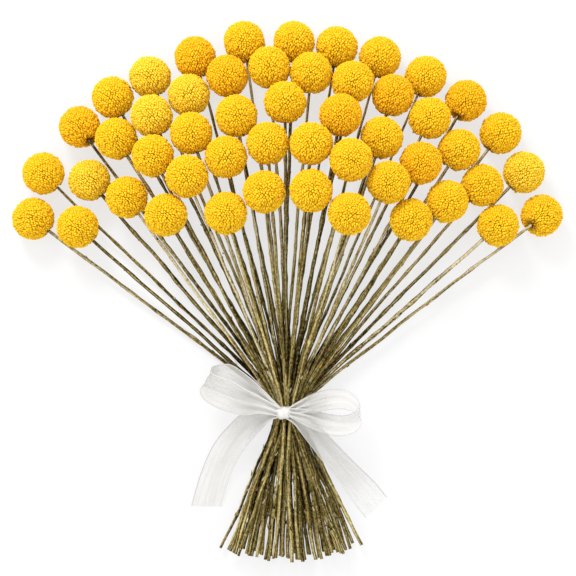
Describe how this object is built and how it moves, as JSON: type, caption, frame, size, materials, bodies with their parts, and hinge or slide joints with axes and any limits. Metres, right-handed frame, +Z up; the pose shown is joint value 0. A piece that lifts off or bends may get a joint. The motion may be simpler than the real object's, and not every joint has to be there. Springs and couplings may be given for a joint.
{
  "type": "tied bunch of dried billy buttons",
  "caption": "Fan-shaped bunch of dried round yellow flower heads on bare stems, tied with a sheer ribbon bow, lying flat.",
  "frame": {"origin": "on the surface the bunch lies on, under the middle of its bounding box", "axes": "+Z up from the surface; +Y from the cut ends through the tie towards the heads; +X across the fan to the right, seen from above with the heads at the top"},
  "size_m": [0.3628, 0.3558, 0.066],
  "materials": {
    "floret_yellow": "matt dry florets, bright yellow with ochre shade between them",
    "dried_stem": "matt dry stalk, olive to cream with orange-brown flecks",
    "organza": "sheer white organza with a brighter hem along both edges"
  },
  "bodies": {
    "root": {"head_01": "floret_yellow", "head_02": "floret_yellow", "head_03": "floret_yellow", "head_04": "floret_yellow", "head_05": "floret_yellow", "head_06": "floret_yellow", "head_07": "floret_yellow", "head_08": "floret_yellow", "head_09": "floret_yellow", "head_10": "floret_yellow", "head_11": "floret_yellow", "head_12": "floret_yellow", "head_13": "floret_yellow", "head_14": "floret_yellow", "head_15": "floret_yellow", "head_16": "floret_yellow", "head_17": "floret_yellow", "head_18": "floret_yellow", "head_19": "floret_yellow", "head_20": "floret_yellow", "head_21": "floret_yellow", "head_22": "floret_yellow", "head_23": "floret_yellow", "head_24": "floret_yellow", "head_25": "floret_yellow", "head_26": "floret_yellow", "head_27": "floret_yellow", "head_28": "floret_yellow", "head_29": "floret_yellow", "head_30": "floret_yellow", "head_31": "floret_yellow", "head_32": "floret_yellow", "head_33": "floret_yellow", "head_34": "floret_yellow", "head_35": "floret_yellow", "head_36": "floret_yellow", "head_37": "floret_yellow", "head_38": "floret_yellow", "head_39": "floret_yellow", "head_40": "floret_yellow", "head_41": "floret_yellow", "head_42": "floret_yellow", "head_43": "floret_yellow", "head_44": "floret_yellow", "head_45": "floret_yellow", "head_46": "floret_yellow", "head_47": "floret_yellow", "head_48": "floret_yellow", "head_49": "floret_yellow", "head_50": "floret_yellow", "stems_layer_1": "dried_stem", "stems_layer_2": "dried_stem", "stems_layer_3": "dried_stem", "stems_layer_4": "dried_stem", "stems_layer_5": "dried_stem", "stems_layer_6": "dried_stem", "stems_layer_7": "dried_stem", "ribbon_bow": "organza"}
  },
  "joints": []
}
